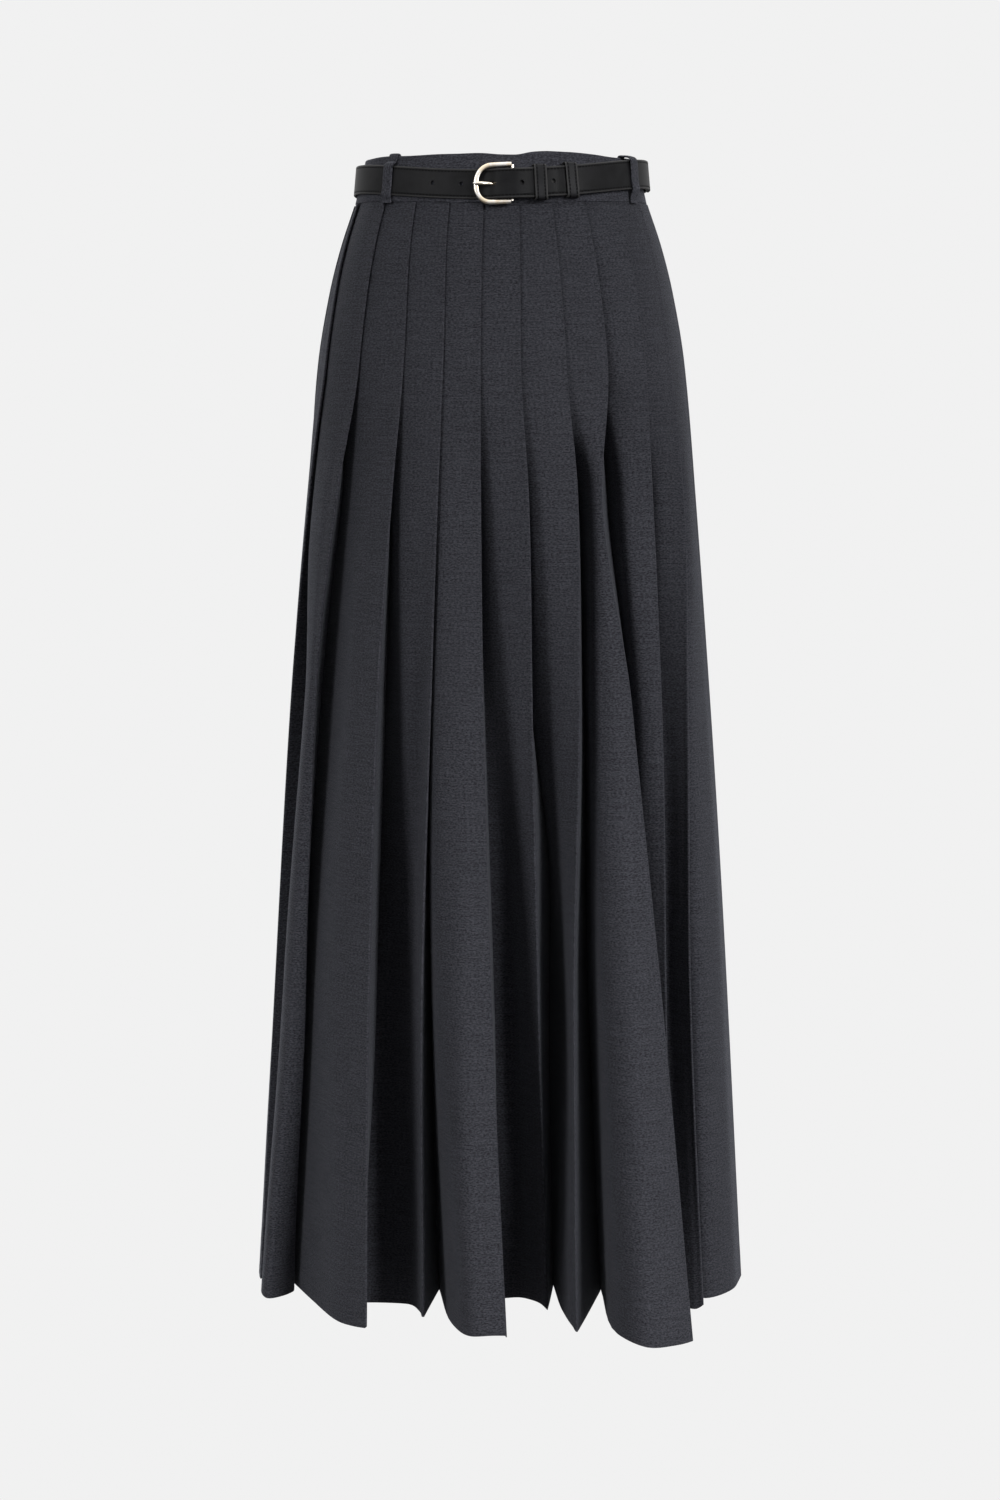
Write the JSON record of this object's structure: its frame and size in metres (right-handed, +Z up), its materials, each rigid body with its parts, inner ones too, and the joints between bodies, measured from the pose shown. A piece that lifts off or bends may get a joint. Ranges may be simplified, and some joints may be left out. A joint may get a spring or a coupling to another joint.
{
  "type": "skirt",
  "caption": "Maxi skirt of knife pleats in charcoal wool that open into deep folds, with a shaped waistband, belt loops and its own fastened black leather belt and horseshoe buckle.",
  "frame": {"origin": "centre of the waist opening, half way up the waistband at the centre front", "axes": "+Z up through the waist, -Y out of the centre front, +X to the wearer's left"},
  "size_m": [0.4315, 0.3482, 0.9823],
  "materials": {
    "cloth": "plain-woven charcoal wool melange, matt with a soft nap",
    "leather": "smooth black leather, half gloss, stitched near both edges",
    "metal": "polished, pale silver with a warm cast"
  },
  "bodies": {
    "root": {"skirt_front": "cloth", "skirt_back": "cloth", "waistband": "cloth", "loop_front_left": "cloth", "loop_front_right": "cloth", "loop_back_left": "cloth", "loop_back_right": "cloth", "belt_strap": "leather", "keeper_fixed": "leather", "keeper_sliding": "leather", "buckle_frame": "metal", "buckle_prong": "metal"}
  },
  "joints": []
}
